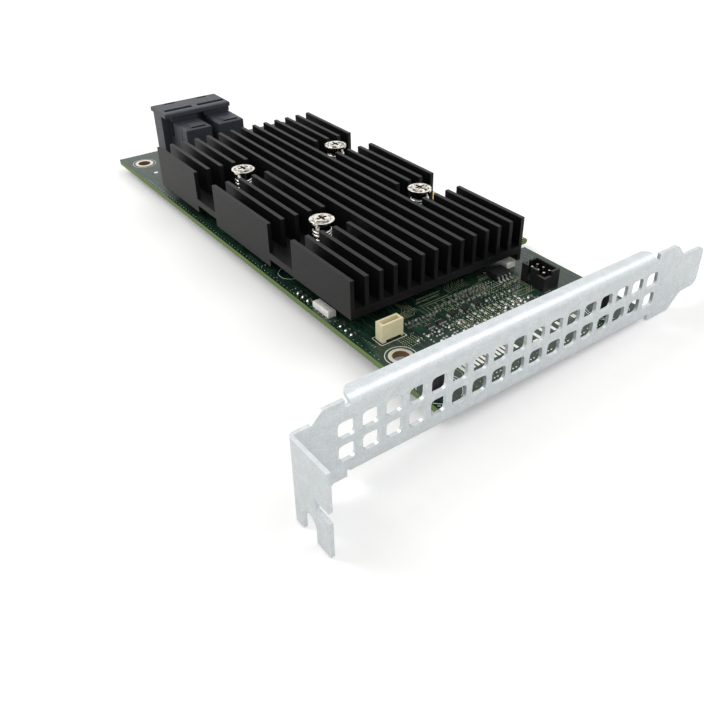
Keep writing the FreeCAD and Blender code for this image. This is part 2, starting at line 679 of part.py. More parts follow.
def cream_header():
    x0 = LEFT + CREAM_FROM_LEFT
    y0 = FACE + CREAM_FROM_BRACKET
    x1 = x0 + CREAM_LENGTH
    y1 = y0 + CREAM_WIDTH
    wall = CREAM_WALL
    return cut_all(box(x0, y0, 0, x1, y1, CREAM_HEIGHT), [
        box(x0 + wall, y0 + wall, CREAM_HEIGHT - CREAM_CAVITY, x1 - wall, y1 - wall, CREAM_HEIGHT + BEYOND),
        box(x0 + CREAM_LEFT_FOOT, y0 - BEYOND, -BEYOND, x1 - CREAM_RIGHT_FOOT, y1 + BEYOND, CREAM_FOOT_LIFT),
    ])


def cream_pins():
    middle = LEFT + CREAM_FROM_LEFT + CREAM_LENGTH / 2
    y = FACE + CREAM_FROM_BRACKET + CREAM_WIDTH / 2
    floor = CREAM_HEIGHT - CREAM_CAVITY
    size = CREAM_PIN_SIZE
    return [centred(x, y, floor, size, size, CREAM_HEIGHT - CREAM_PIN_DROP)
            for x in places(middle, CREAM_PINS, CREAM_PITCH)]


def box_header():
    x0 = LEFT + BOX_FROM_LEFT
    y0 = FACE + BOX_FROM_BRACKET
    x1 = x0 + BOX_WIDTH
    y1 = y0 + BOX_LENGTH
    wall = BOX_WALL
    over = BOX_HEIGHT + BEYOND
    pull_x = x0 + PULL_CUT_REACH
    pull_y = y0 + PULL_CUT_REACH
    left_slit = y1 - LEFT_SLIT_FROM_FAR
    far_slit = x0 + FAR_SLIT_FROM_LEFT
    return cut_all(box(x0, y0, 0, x1, y1, BOX_HEIGHT), [
        box(x0 + wall, y0 + wall, BOX_FLOOR, x1 - wall, y1 - wall, over),
        box(x0 - BEYOND, left_slit, BOX_FLOOR, x0 + 2 * wall, left_slit + KEY_SLIT, over),
        box(far_slit, y1 - 2 * wall, BOX_FLOOR, far_slit + KEY_SLIT, y1 + BEYOND, over),
        box(x0 - BEYOND, y0 - BEYOND, BOX_HEIGHT - PULL_CUT_DEPTH, pull_x, pull_y, over),
    ])


def box_pins():
    columns = places(LEFT + BOX_FROM_LEFT + BOX_WIDTH / 2, BOX_COLUMNS, BOX_PITCH)
    rows = places(FACE + BOX_FROM_BRACKET + BOX_LENGTH / 2, BOX_ROWS, BOX_PITCH)
    return [centred(x, y, BOX_FLOOR, PIN_SIZE, PIN_SIZE, PIN_TOP) for x in columns for y in rows]


def white_part(from_left, from_bracket, size_x, size_y, height):
    x0 = LEFT + from_left
    y0 = FACE + from_bracket
    body = box(x0, y0, 0, x0 + size_x, y0 + size_y, height)
    return body.makeChamfer(WHITE_CHAMFER, top_edges(body, height))


# Chips and small parts.

def eight_lead_chip():
    x0 = LEFT + SO_FROM_LEFT
    y0 = FACE + SO_FROM_BRACKET
    return box(x0, y0, SO_LIFT, x0 + SO_LENGTH, y0 + SO_WIDTH, SO_HEIGHT)


def chip_lead(x, edge, out):
    z = (SO_LIFT + SO_HEIGHT) / 2
    half = LEAD_THICK / 2
    knee = edge + out * LEAD_KNEE
    foot = edge + out * (LEAD_KNEE + LEAD_THICK)
    end = edge + out * LEAD_REACH
    points = [
        (x, edge, z - half), (x, edge, z + half), (x, knee + out * half, z + half),
        (x, foot + out * half, LEAD_THICK), (x, end, LEAD_THICK), (x, end, 0),
        (x, edge + out * LEAD_FOOT, 0), (x, knee - out * half, z - half),
    ]
    return prism(points, (LEAD_WIDTH, 0, 0))


def chip_leads():
    near_edge = FACE + SO_FROM_BRACKET
    leads = []
    for x in places(LEFT + SO_FROM_LEFT + SO_LENGTH / 2, SO_LEADS, SO_PITCH):
        leads.append(chip_lead(x - LEAD_WIDTH / 2, near_edge, -1))
        leads.append(chip_lead(x - LEAD_WIDTH / 2, near_edge + SO_WIDTH, 1))
    return leads


def rows_of_parts(rows, size):
    size_x, size_y, height = size
    parts = []
    for from_left, from_bracket, step_x, step_y, count in rows:
        for i in range(count):
            x = LEFT + from_left + i * step_x
            y = FACE + from_bracket + i * step_y
            parts.append(centred(x, y, 0, size_x, size_y, height))
    return parts


save("circuit_board", [circuit_board()])
save("mounting_hole_plating", [hole_ring(x, y, z) for x, y in HOLE_PLACES for z in (0, UNDER - PLATING)])
save("edge_contacts", edge_contacts())
save("bracket", [bracket()])
save("mounting_posts", [mounting_post(x, y) for x, y in POST_PLACES])
save("post_screws", [post_screw(x, y) for x, y in POST_PLACES])
save("heatsink", [heatsink()])
save("spring_screws", [spring_screw(x, y) for x, y in SCREW_PLACES])
save("screw_springs", [spring(x, y) for x, y in SCREW_PLACES])
save("screw_nuts", [screw_nut(x, y) for x, y in SCREW_PLACES])
save("controller_chip", [controller_chip()])
save("thermal_pad", [thermal_pad()])
save("cable_connector", [cable_connector()])
save("cable_connector_contacts", connector_contacts())
save("cream_header", [cream_header()])
save("cream_header_pins", cream_pins())
save("box_header", [box_header()])
save("box_header_pins", box_pins())
save("white_edge_connector", [white_part(*WHITE_LEFT)])
save("white_right_part", [white_part(*WHITE_RIGHT)])
save("eight_lead_chip", [eight_lead_chip()])
save("eight_lead_chip_leads", chip_leads())
save("chip_capacitors", rows_of_parts(CAPACITOR_ROWS, CAPACITOR_SIZE))
save("chip_resistors", rows_of_parts(RESISTOR_ROWS, RESISTOR_SIZE))
save("resistor_networks", rows_of_parts(NETWORK_ROWS, NETWORK_SIZE))
save("small_inductors", rows_of_parts(INDUCTOR_ROWS, INDUCTOR_SIZE))
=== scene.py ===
import math
import random

import bmesh
import bpy
from bpy.props import FloatProperty, FloatVectorProperty, IntProperty, PointerProperty
from mathutils import Matrix, Vector


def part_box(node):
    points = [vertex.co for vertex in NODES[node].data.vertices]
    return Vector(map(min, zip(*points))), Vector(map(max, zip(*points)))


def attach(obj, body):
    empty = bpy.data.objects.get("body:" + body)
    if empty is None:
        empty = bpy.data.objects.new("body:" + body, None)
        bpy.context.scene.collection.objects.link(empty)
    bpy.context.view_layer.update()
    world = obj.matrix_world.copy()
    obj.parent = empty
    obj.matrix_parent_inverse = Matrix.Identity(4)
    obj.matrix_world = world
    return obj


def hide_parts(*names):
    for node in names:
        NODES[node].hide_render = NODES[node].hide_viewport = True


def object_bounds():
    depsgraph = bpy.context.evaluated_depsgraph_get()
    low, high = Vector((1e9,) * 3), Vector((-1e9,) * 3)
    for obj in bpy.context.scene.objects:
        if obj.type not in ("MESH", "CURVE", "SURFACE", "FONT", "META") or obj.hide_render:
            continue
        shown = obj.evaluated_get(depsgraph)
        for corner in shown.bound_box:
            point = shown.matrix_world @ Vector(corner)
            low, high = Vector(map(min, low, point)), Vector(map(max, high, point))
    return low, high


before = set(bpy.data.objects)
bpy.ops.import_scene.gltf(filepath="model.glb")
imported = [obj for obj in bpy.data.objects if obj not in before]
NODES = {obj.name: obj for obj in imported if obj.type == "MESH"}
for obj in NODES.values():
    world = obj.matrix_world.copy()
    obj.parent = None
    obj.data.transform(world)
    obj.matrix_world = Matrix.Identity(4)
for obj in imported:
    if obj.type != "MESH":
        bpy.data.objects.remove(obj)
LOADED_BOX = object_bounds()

bl_info = {
    "name": "Controller card dressing",
    "version": (1, 0, 0),
    "blender": (4, 5, 0),
    "location": "3D View > Sidebar > Card",
    "description": "Dresses the packed controller card in finishes and fine detail, on a plain stage",
    "category": "Object",
}

MM = 0.001

# Places on the card. The tongue stands out to the right of the board's main edge.
BOARD_LOW, BOARD_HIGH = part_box("circuit_board")
BRACKET_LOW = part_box("bracket")[0]
TONGUE_STEP = 4.49 * MM
LEFT = BOARD_LOW.x
NEAR = BOARD_LOW.y
MAIN_RIGHT = BOARD_HIGH.x - TONGUE_STEP
TOP = BOARD_HIGH.z
UNDER = BOARD_LOW.z
RING_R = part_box("mounting_hole_plating")[1].x
HOLE_PLACES = (Vector((0, 0)), Vector((0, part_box("mounting_hole_plating")[1].y - RING_R)))

# The right end of the lower edge of the bracket's plate, on which the card leans.
LOWER_EDGE_END = Vector((0.0599, -0.02015, -0.00405))

# Nickel of the screws, nuts and springs, in linear light, and full white with its alpha.
NICKEL = (0.8, 0.79, 0.77)
WHITE = (1, 1, 1, 1)

# Where a Mix node keeps its factor, its two colours and its mixed colour.
COLOUR_MIX_INPUTS = (0, 6, 7)
COLOUR_MIX_OUTPUT = 2

# Groups of like features on the component face, in millimetres from the near mounting hole.
# Each row is the first feature's x and y, its size, its step and count along X, then along Y.
# The size of a bare pad is its width and its length.
PAD_GROUPS = (
    (7.7, -11.2, 0.75, 3.6, 1.27, 12, 0, 1),
    (29.9, -12.3, 0.9, 3.2, 0, 1, 0, 1),
    (32.5, -11.4, 0.9, 1.6, 0, 1, 0, 1),
    (35.2, -12.4, 0.9, 2.4, 2.4, 2, 0, 1),
    (43.1, -12.0, 1.3, 1.3, 0, 1, 0, 1),
    (28.3, -13.7, 1.7, 0.5, 0, 1, 0, 1),
    (23.0, -12.6, 0.8, 1.4, 0, 1, 0, 1),
    (8.3, 7.7, 0.26, 0.6, 0.5, 15, 0, 1),
    (10.2, 12.6, 0.26, 0.6, 0.5, 10, 0, 1),
    (15.4, 8.5, 0.6, 0.26, 1.2, 2, 0.5, 9),
    (45.7, -0.4, 0.6, 0.45, 0.8, 3, 0, 1),
    (-3.7, 13.8, 0.4, 0.45, 0.75, 4, 0, 1),
    (-3.7, 19.0, 0.45, 0.5, 0.8, 3, 1.3, 2),
    (-2.5, 6.3, 0.45, 0.4, 0, 1, 0.8, 8),
    (41.8, -0.4, 0.5, 0.5, 0.9, 2, 0, 1),
)

# The size of a dot, bare or under the mask, is its radius.
DOT_GROUPS = (
    (22.7, 3.1, 0.4, 2.25, 8, -1.4, 2),
    (22.7, -0.4, 0.38, 2.25, 8, 0, 1),
    (19.3, 3.2, 0.3, 1.0, 2, -1.5, 3),
    (9.7, 3.7, 0.28, 2.5, 2, -0.9, 2),
    (13.5, 3.7, 0.28, 2.0, 2, -0.9, 2),
    (16.8, 3.7, 0.28, 0, 1, -0.9, 2),
    (11.5, 1.2, 0.26, 0.85, 3, 0, 1),
    (15.7, 1.2, 0.26, 0.85, 2, -1.3, 2),
    (9.5, 0.9, 0.24, 0, 1, -1.0, 2),
    (12.3, -0.2, 0.28, 0.95, 2, 0, 1),
    (11.0, -18.3, 0.2, 5.5, 7, 0, 1),
    (12.0, -18.3, 0.2, 5.5, 7, 0, 1),
    (17.2, 4.6, 0.15, 1.15, 19, 0, 1),
    (23.8, 2.4, 0.13, 1.125, 15, 1.4, 2),
    (30.2, 12.3, 0.22, 1.0, 9, 0, 1),
    (31.4, 7.6, 0.18, 1.3, 6, -1.3, 2),
    (25.8, 12.6, 0.2, 1.1, 4, 0, 1),
    (36.6, 9.4, 0.2, 0.9, 4, 1.1, 3),
    (-4.6, 2.0, 0.12, 0, 1, 1.6, 78),
    (-3.9, 24.0, 0.16, 0.9, 2, 7.5, 5),
    (12.7, -17.2, 0.18, 1.2, 2, 0, 1),
    (41.5, -17.6, 0.18, 1.2, 2, 0, 1),
    (0.0, 129.8, 0.7, 0, 1, 0, 1),
)
COVERED_DOT_GROUPS = (
    (3.3, 1.5, 0.17, 0.66, 8, 0.66, 7),
    (17.9, -1.0, 0.19, 0.75, 28, 0.64, 8),
    (30.8, 9.8, 0.15, 0.9, 5, 0.9, 4),
    (47.5, 14.5, 0.13, 1.5, 7, 1.4, 12),
    (17.5, 9.5, 0.14, 0.8, 4, 0.8, 4),
    (20.9, 7.4, 0.2, 0.7, 5, 0.7, 3),
    (34.8, 5.2, 0.15, 0.75, 12, 0.8, 9),
    (4.0, -18.2, 0.14, 1.9, 24, 0.9, 2),
    (8.5, -15.9, 0.14, 2.3, 18, 0, 1),
)

# Runs of like traces: the first one's x and y, the moves that each makes, the step along X and
# along Y from one to the next, and the count.
TRACE_RUNS = (
    (7.7, -9.3, ((0.0, 3.6), (1.6, 1.6), (0.0, 3.0)), 1.27, 0.0, 12),
    (20.4, 6.9, ((0.0, 5.5),), 2.1, 0.0, 5),
    (23.0, 8.0, ((0.0, 4.2),), 1.9, 0.0, 4),
    (16.4, 12.4, ((9.2, 0.0),), 0.0, 0.65, 2),
    (15.2, 7.4, ((1.4, 1.4), (0.0, 3.2)), 1.1, 0.0, 2),
    (2.6, -10.6, ((0.0, 6.0), (1.5, 1.5), (2.0, 0.0)), 0.7, 0.0, 4),
    (3.6, -16.4, ((3.0, 3.0), (0.0, 4.5)), 0.6, 0.0, 5),
    (19.0, 4.6, ((0.8, 0.8),), 1.2, 0.0, 9),
    (33.5, 13.0, ((0.0, -4.0), (-1.6, -1.6)), 0.55, 0.0, 6),
    (10.4, 12.6, ((4.8, 0.0),), 0.0, 0.6, 2),
    (29.8, 9.0, ((5.4, 0.0),), 0.6, 1.6, 3),
    (10.2, 6.4, ((0.0, 3.4),), 1.3, 0.0, 5),
    (44.0, 10.5, ((0.0, -6.5), (-2.2, -2.2)), 0.5, 0.0, 4),
    (38.4, 5.0, ((5.0, 0.0),), 0.3, -0.7, 5),
    (24.0, -9.6, ((0.0, 3.0), (2.0, 2.0), (0.0, 3.6)), 0.55, 0.0, 12),
    (40.0, -13.0, ((0.0, 5.0), (2.2, 2.2), (0.0, 2.4)), 0.6, 0.0, 9),
    (48.3, 33.0, ((3.5, 0.0), (3.0, 3.0), (3.2, 0.0)), 0.0, 1.0, 24),
    (12.0, 114.0, ((0.0, 12.4),), 0.95, 0.0, 20),
    (5.2, 13.4, ((5.6, 0.0), (1.4, 1.4), (0.0, 2.6)), 0.55, -0.55, 5),
    (16.2, 14.4, ((7.5, 0.0),), 0.5, 0.6, 4),
    (26.5, 13.6, ((0.0, 2.2), (1.2, 1.2)), 0.7, 0.0, 10),
    (36.0, 13.4, ((5.2, 0.0), (1.0, -1.0)), 0.4, 0.6, 4),
)


# Mesh helpers.

def on_board(x, y):
    """A point on the component face, in millimetres from the near mounting hole."""
    return Vector((x * MM, y * MM, TOP))


def lay_out(groups):
    """Spreads groups of like features, each over its steps and counts along X and along Y."""
    for x, y, *size, step_x, count_x, step_y, count_y in groups:
        for i in range(count_x):
            for j in range(count_y):
                yield x + i * step_x, y + j * step_y, size


def make_piece(name, builder, material, smooth=False):
    """Turns a bmesh into a shown piece that rides on the card."""
    mesh = bpy.data.meshes.new(name)
    bmesh.ops.recalc_face_normals(builder, faces=builder.faces)
    builder.to_mesh(mesh)
    builder.free()
    if smooth:
        mesh.shade_smooth()
    piece = bpy.data.objects.new(name, mesh)
    bpy.context.scene.collection.objects.link(piece)
    mesh.materials.append(material)
    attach(piece, "root")
    return piece


def add_block(builder, low, high):
    """A closed block between two corners."""
    corners = [
        builder.verts.new((x, y, z))
        for z in (low[2], high[2]) for y in (low[1], high[1]) for x in (low[0], high[0])
    ]
    for face in ((0, 1, 3, 2), (4, 6, 7, 5), (0, 4, 5, 1), (2, 3, 7, 6), (0, 2, 6, 4), (1, 5, 7, 3)):
        builder.faces.new([corners[i] for i in face])


def add_disc(builder, centre, radius, height, sides=8, top_share=0.82):
    """A low closed disc on the board, with a slightly narrower top."""
    rings = []
    for z, r in ((0.0, radius), (height, radius * top_share)):
        rings.append([
            builder.verts.new((centre.x + r * math.cos(a), centre.y + r * math.sin(a), centre.z + z))
            for a in (2 * math.pi * (k + 0.5) / sides for k in range(sides))
        ])
    for k in range(sides):
        n = (k + 1) % sides
        builder.faces.new((rings[0][k], rings[0][n], rings[1][n], rings[1][k]))
    builder.faces.new(rings[0][::-1])
    builder.faces.new(rings[1])


def add_ring(builder, centre, inner, outer, height, sides=40):
    """A flat closed ring round a point on the board."""
    loops = []
    for r, z in ((inner, 0.0), (outer, 0.0), (outer, height), (inner, height)):
        loops.append([
            builder.verts.new((centre.x + r * math.cos(a), centre.y + r * math.sin(a), centre.z + z))
            for a in (2 * math.pi * k / sides for k in range(sides))
        ])
    for first, second in zip(loops, loops[1:] + loops[:1]):
        for k in range(sides):
            n = (k + 1) % sides
            builder.faces.new((first[k], first[n], second[n], second[k]))


def add_circle_on_board(builder, centre, radius, width, height, margin=0.3 * MM, steps=96):
    """A printed circle, left out where it runs past the board's edges."""
    run, runs = [], []
    for k in range(steps + 1):
        turn = 2 * math.pi * k / steps
        point = centre + Vector((math.cos(turn), math.sin(turn), 0)) * radius
        if point.x > LEFT + margin and point.y > NEAR + margin and point.x < MAIN_RIGHT - margin:
            run.append(point)
        elif run:
            runs.append(run)
            run = []
    for points in runs + [run]:
        if len(points) > 1:
            add_ribbon(builder, points, width, height)


def add_ribbon(builder, points, width, height, least_cosine=0.5):
    """A closed flat ribbon along a line of points on the board, with mitred turns."""
    left, right = [], []
    for i, point in enumerate(points):
        before = (point - points[i - 1]).xy.normalized() if i > 0 else None
        after = (points[i + 1] - point).xy.normalized() if i < len(points) - 1 else None
        heading = ((before or after) + (after or before)).normalized()
        side = Vector((-heading.y, heading.x, 0))
        spread = 1.0
        if before is not None and after is not None:
            spread = 1 / max(least_cosine, abs(heading.dot(before)))
        left.append(point + side * width / 2 * spread)
        right.append(point - side * width / 2 * spread)
    rise = Vector((0, 0, height))
    rows = [[builder.verts.new(p) for p in row]
            for row in (left, right, [p + rise for p in right], [p + rise for p in left])]
    for a, b in zip(rows, rows[1:] + rows[:1]):
        for i in range(len(points) - 1):
            builder.faces.new((a[i], a[i + 1], b[i + 1], b[i]))
    builder.faces.new([row[0] for row in rows])
    builder.faces.new([row[-1] for row in reversed(rows)])


def islands(node, weld=1e-6, place_digits=5):
    """The lowest and highest corner of every separate solid in a CAD node, from left to right."""
    builder = bmesh.new()
    builder.from_mesh(NODES[node].data)
    bmesh.ops.remove_doubles(builder, verts=builder.verts, dist=weld)
    unvisited = set(builder.verts)
    boxes = []
    while unvisited:
        found = []
        queue = [unvisited.pop()]
        while queue:
            vertex = queue.pop()
            found.append(vertex.co.copy())
            for edge in vertex.link_edges:
                other = edge.other_vert(vertex)
                if other in unvisited:
                    unvisited.remove(other)
                    queue.append(other)
        low = Vector([min(p[i] for p in found) for i in range(3)])
        high = Vector([max(p[i] for p in found) for i in range(3)])
        boxes.append((low, high))
    builder.free()
    return sorted(boxes, key=lambda b: (round(b[0].x, place_digits), round(b[0].y, place_digits)))


# Material helpers.

def start_material(name, colour, roughness, metallic=0.0, specular=0.5):
    """A new material and its shader, with plain values that a finish may replace."""
    material = bpy.data.materials.new(name)
    material.use_nodes = True
    shader = material.node_tree.nodes["Principled BSDF"]
    shader.inputs["Base Color"].default_value = (*colour, 1.0)
    shader.inputs["Roughness"].default_value = roughness
    shader.inputs["Metallic"].default_value = metallic
    shader.inputs["Specular IOR Level"].default_value = specular
    return material, shader


def add_node(material, kind, inputs=(), **settings):
    """A node with its settings, and with its inputs linked to sockets or set to values."""
    node = material.node_tree.nodes.new(kind)
    for name, value in settings.items():
        setattr(node, name, value)
    for socket, value in dict(inputs).items():
        if isinstance(value, bpy.types.NodeSocket):
            material.node_tree.links.new(value, node.inputs[socket])
        else:
            node.inputs[socket].default_value = value
    return node


def calculate(material, operation, *values):
    """The result of a Math node on sockets or numbers."""
    return add_node(material, "ShaderNodeMath", enumerate(values), operation=operation).outputs[0]


def object_place(material):
    """Places in the piece's own space, in metres."""
    return add_node(material, "ShaderNodeTexCoord").outputs["Object"]


def noise(material, per_metre, detail=2.0, stretch=(1.0, 1.0, 1.0)):
    """Noise laid through the piece's own space, with about that many grains per metre."""
    mapped = add_node(material, "ShaderNodeMapping", {"Vector": object_place(material), "Scale": stretch})
    grain = add_node(material, "ShaderNodeTexNoise",
                     {"Vector": mapped.outputs["Vector"], "Scale": per_metre, "Detail": detail})
    return grain.outputs["Fac"]


def ramp(material, factor, low, high, start=0.3, end=0.7):
    """Spreads a factor from a low to a high colour or grey, between two positions."""
    node = add_node(material, "ShaderNodeValToRGB", {"Fac": factor})
    for element, position, value in zip(node.color_ramp.elements, (start, end), (low, high)):
        element.position = position
        element.color = (*value, 1.0) if hasattr(value, "__len__") else (value, value, value, 1.0)
    return node.outputs["Color"]


def blend_colours(material, factor, first, second, blend_type="MIX"):
    """Mixes two colours, where each input is a socket or a value."""
    node = add_node(material, "ShaderNodeMix", data_type="RGBA", blend_type=blend_type)
    for place, value in zip(COLOUR_MIX_INPUTS, (factor, first, second)):
        if isinstance(value, bpy.types.NodeSocket):
            material.node_tree.links.new(value, node.inputs[place])
        else:
            node.inputs[place].default_value = value if isinstance(value, float) else (*value, 1.0)
    return node.outputs[COLOUR_MIX_OUTPUT]


def shades(colour, spread):
    """The same colour a little darker and a little lighter."""
    return [tuple(min(1.0, c * k) for c in colour) for k in (1 - spread, 1 + spread)]


def link(material, value, shader, socket):
    """Drives a shader's input by another node's output."""
    material.node_tree.links.new(value, shader.inputs[socket])


def in_holes(material, centres, radius):
    """One inside any of the upright cylinders round the centres and nought elsewhere."""
    flat = add_node(material, "ShaderNodeVectorMath", {0: object_place(material), 1: (1.0, 1.0, 0.0)},
                    operation="MULTIPLY").outputs[0]
    nearest = None
    for centre in centres:
        gap = add_node(material, "ShaderNodeVectorMath", {0: flat, 1: (centre[0], centre[1], 0.0)},
                       operation="DISTANCE").outputs["Value"]
        nearest = gap if nearest is None else calculate(material, "MINIMUM", nearest, gap)
    return calculate(material, "LESS_THAN", nearest, radius)


def relief(material, shader, height, depth, edge_radius=0.0):
    """Fine bumps, over edges that the light sees as slightly rounded."""
    inputs = {"Height": height, "Distance": depth, "Strength": 1.0}
    if edge_radius:
        bevel = add_node(material, "ShaderNodeBevel", {"Radius": edge_radius}, samples=4)
        inputs["Normal"] = bevel.outputs["Normal"]
    link(material, add_node(material, "ShaderNodeBump", inputs).outputs["Normal"], shader, "Normal")


def dress(node, material):
    """Puts a finish on a CAD node in place of the plain one it came with."""
    slots = NODES[node].data.materials
    if len(slots):
        slots[0] = material
    else:
        slots.append(material)


# Finishes.

def solder_mask(colours):
    """Glossy green mask over faint copper, bare laminate at the cut edges and brown hole walls."""
    cut_roughness, mask_roughness = 0.75, 0.27
    hole_reach, steepest_face = RING_R * 0.85, 0.5
    material, shader = start_material("solder mask", colours.mask, mask_roughness)
    cloudy = ramp(material, noise(material, per_metre=90.0, detail=3.0), *shades(colours.mask, spread=0.3))
    weave = ramp(material, noise(material, per_metre=900.0, stretch=(1.0, 0.25, 1.0)),
                 0.0, 1.0, start=0.45, end=0.62)
    mask = blend_colours(material, weave, cloudy, colours.mask_over_copper)
    layers = noise(material, per_metre=60.0, detail=1.0, stretch=(1.0, 1.0, 60.0))
    dark_laminate = shades(colours.laminate, spread=0.3)[0]
    laminate = ramp(material, layers, dark_laminate, colours.laminate, start=0.35, end=0.65)
    normal = add_node(material, "ShaderNodeNewGeometry").outputs["True Normal"]
    upward = add_node(material, "ShaderNodeSeparateXYZ", {"Vector": normal}).outputs["Z"]
    face = calculate(material, "GREATER_THAN", calculate(material, "ABSOLUTE", upward), steepest_face)
    cut = blend_colours(material, in_holes(material, HOLE_PLACES, hole_reach), laminate, colours.hole_wall)
    roughness = ramp(material, face, cut_roughness, mask_roughness, start=0.0, end=1.0)
    link(material, blend_colours(material, face, cut, mask), shader, "Base Color")
    link(material, roughness, shader, "Roughness")
    relief(material, shader, noise(material, per_metre=1400.0), depth=0.01 * MM)
    return material


def zinc_plate(colours):
    """Pale blue-grey zinc on sheet steel, with soft blotches and fine grain."""
    dark_grain, bright_grain = 0.86, 1.0
    smoother, rougher = 0.44, 0.54
    material, shader = start_material("zinc plate", colours.zinc, smoother, metallic=1.0)
    patches = noise(material, per_metre=450.0, detail=4.0)
    blotches = ramp(material, patches, *shades(colours.zinc, spread=0.05), start=0.32, end=0.68)
    fine = noise(material, per_metre=3000.0, detail=4.0)
    grain = ramp(material, fine, dark_grain, bright_grain, end=0.64)
    grained = blend_colours(material, 1.0, blotches, grain, blend_type="MULTIPLY")
    polish = ramp(material, noise(material, per_metre=900.0, detail=4.0), smoother, rougher)
    link(material, grained, shader, "Base Color")
    link(material, polish, shader, "Roughness")
    relief(material, shader, noise(material, per_metre=2200.0, detail=4.0), depth=0.014 * MM,
           edge_radius=0.09 * MM)
    return material


def black_anodising(colours):
    """Satin black on extruded aluminium, with faint lines along the fins."""
    smoother, rougher = 0.38, 0.46
    material, shader = start_material("black anodising", colours.anodising, smoother, specular=0.25)
    streaks = noise(material, per_metre=2400.0, detail=3.0, stretch=(1.0, 0.02, 1.0))
    link(material, ramp(material, streaks, *shades(colours.anodising, spread=0.35)), shader, "Base Color")
    link(material, ramp(material, noise(material, per_metre=2500.0, detail=3.0), smoother, rougher),
         shader, "Roughness")
    relief(material, shader, streaks, depth=0.006 * MM, edge_radius=0.15 * MM)
    return material


def bright_metal(name, colour, roughness):
    """Plated metal with a slightly uneven polish."""
    grain = 1800.0
    smoother, rougher = roughness * 0.75, roughness * 1.3
    material, shader = start_material(name, colour, roughness, metallic=1.0)
    patches = noise(material, per_metre=grain, detail=3.0)
    link(material, ramp(material, patches, *shades(colour, spread=0.08)), shader, "Base Color")
    link(material, ramp(material, patches, smoother, rougher), shader, "Roughness")
    relief(material, shader, noise(material, per_metre=grain * 2), depth=0.006 * MM)
    return material


def moulded_plastic(name, colour, roughness, edge_radius=0.12 * MM, spread=0.12):
    """Moulded plastic with a fine spark-eroded grain and softened edges."""
    smoother, rougher = roughness * 0.85, roughness * 1.15
    material, shader = start_material(name, colour, roughness)
    link(material, ramp(material, noise(material, per_metre=700.0, detail=4.0), *shades(colour, spread)),
         shader, "Base Color")
    link(material, ramp(material, noise(material, per_metre=1200.0), smoother, rougher),
         shader, "Roughness")
    relief(material, shader, noise(material, per_metre=9000.0), depth=0.012 * MM, edge_radius=edge_radius)
    return material


def board_print(name, colour, roughness):
    """Thin print or mask-covered copper on the board, slightly uneven in tone."""
    material, shader = start_material(name, colour, roughness)
    link(material, ramp(material, noise(material, per_metre=2000.0), *shades(colour, spread=0.2)),
         shader, "Base Color")
    relief(material, shader, noise(material, per_metre=6000.0), depth=0.004 * MM)
    return material


def screw_nickel():
    """Bright nickel, mottled partly by painted reflection, with brown painted shade in the recess and a
    dark, broken painted ring of groove shade and dark reflection round the boss.
    """
    # The dull end of the mottle is partly the plating's own unevenness and partly painted reflection: dark
    # patches stand in for what the heads mirror.
    dull, bright = (0.34, 0.31, 0.25), (0.92, 0.9, 0.83)
    # Painted shade: the dark ring stands in for the shade in the groove round the boss and for its dark
    # reflections. The brown stands in for the shade in the cross recess.
    painted_ring_shade, painted_recess_shade = (0.06, 0.05, 0.04), (0.42, 0.3, 0.18)
    recess_reach, recess_depth = 1.6 * MM, 0.02 * MM
    ring_inner, ring_outer = 2.02 * MM, 2.62 * MM
    smoother, rougher = 0.1, 0.24
    material, shader = start_material("bright nickel", NICKEL, smoother, metallic=1.0)
    screws = islands("spring_screws")
    centres = [(low + high) / 2 for low, high in screws]
    top = max(high.z for low, high in screws)
    height = add_node(material, "ShaderNodeSeparateXYZ", {"Vector": object_place(material)}).outputs["Z"]
    # Masks for the painted shade in the cross recess and for the painted dark ring round the boss.
    sunk = calculate(material, "LESS_THAN", height, top - recess_depth)
    recess = calculate(material, "MULTIPLY", sunk, in_holes(material, centres, recess_reach))
    ring = calculate(material, "SUBTRACT", in_holes(material, centres, ring_outer),
                     in_holes(material, centres, ring_inner))
    broken = ramp(material, noise(material, per_metre=900.0), 0.0, 1.0, start=0.4, end=0.6)
    dark = calculate(material, "MULTIPLY", ring, broken)
    # Mottle that is partly real unevenness and partly painted reflection.
    mottle_and_painted_reflection = noise(material, per_metre=700.0, detail=3.0)
    metal = ramp(material, mottle_and_painted_reflection, dull, bright, start=0.38, end=0.54)
    ringed = blend_colours(material, dark, metal, painted_ring_shade)
    link(material, blend_colours(material, recess, ringed, painted_recess_shade), shader, "Base Color")
    link(material, ramp(material, noise(material, per_metre=1500.0), smoother, rougher),
         shader, "Roughness")
    relief(material, shader, noise(material, per_metre=500.0), depth=0.06 * MM, edge_radius=0.12 * MM)
    return material


# Sizes and colours that a user would change.

def colour_setting(name, description, default):
    """A colour in linear light."""
    return FloatVectorProperty(name=name, description=description, subtype="COLOR", size=3, min=0, max=1,
                               default=default)


def length_setting(name, description, default):
    """A length in metres."""
    return FloatProperty(name=name, description=description, min=0, unit="LENGTH", default=default)


def place_setting(name, description, default):
    """A place in metres from the near mounting hole."""
    return FloatVectorProperty(name=name, description=description, subtype="TRANSLATION", size=3,
                               unit="LENGTH", default=default)


